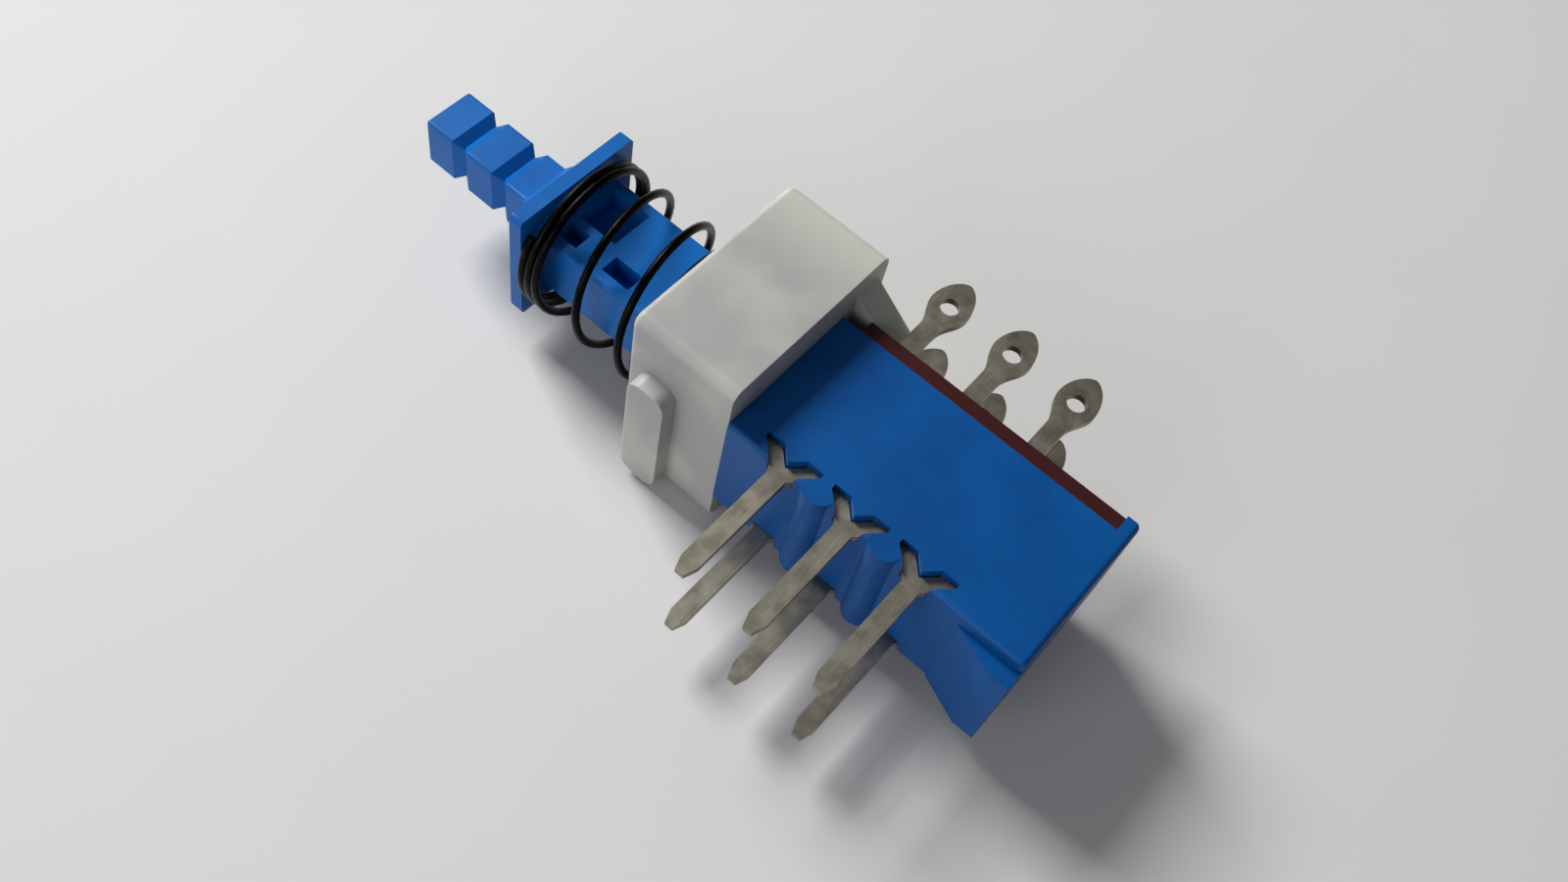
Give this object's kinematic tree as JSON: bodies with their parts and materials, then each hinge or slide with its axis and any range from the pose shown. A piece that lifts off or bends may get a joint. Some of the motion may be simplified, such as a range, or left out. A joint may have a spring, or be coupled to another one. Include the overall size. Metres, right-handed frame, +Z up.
{
  "type": "latching pushbutton switch",
  "caption": "Latching two-pole pushbutton switch: square grooved plunger with flange and return spring, latch block, moulded housing, solder lugs on one side and board pins on the other.",
  "frame": {"origin": "on the floor under the middle of the switch, which lies on its side", "axes": "+X along the plunger towards the button end, +Y towards the board pins, +Z up"},
  "size_m": [0.0418, 0.0222, 0.0118],
  "materials": {
    "housing_plastic": "moulded, satin",
    "plunger_plastic": "moulded, satin",
    "nylon": "natural nylon, slightly translucent",
    "phenolic": "sheared phenolic laminate",
    "tinned_brass": "dull tin plate",
    "bronze": "phosphor bronze",
    "spring_steel": "black oxide",
    "latch_steel": "bright steel"
  },
  "bodies": {
    "frame": {"housing": "housing_plastic", "terminal_plate": "phenolic", "latch_block": "nylon", "latch_leaf": "latch_steel", "return_spring": "spring_steel", "terminal_top_rear": "tinned_brass", "terminal_top_middle": "tinned_brass", "terminal_top_front": "tinned_brass", "terminal_bottom_rear": "tinned_brass", "terminal_bottom_middle": "tinned_brass", "terminal_bottom_front": "tinned_brass"},
    "plunger": {"plunger": "plunger_plastic", "contact_bridge_top": "bronze", "contact_bridge_bottom": "bronze"},
    "latch": {"latch_wire": "latch_steel"}
  },
  "joints": [
    {"name": "plunger_travel", "type": "slide", "parent": "frame", "child": "plunger", "axis": [-1, 0, 0], "range_m": [0, 0.005], "stiffness_N_per_m": 300, "springref_m": -0.004, "deforming": ["return_spring"]},
    {"name": "latch_swing", "type": "hinge", "parent": "frame", "child": "latch", "pos_m": [0.00145, -0.0046, 0.0059], "axis": [0, 1, 0], "range_deg": [0, 21.97]}
  ],
  "couplings": [
    {"joint": "latch_swing", "follows": "plunger_travel", "rad_per_m": 75.296}
  ]
}
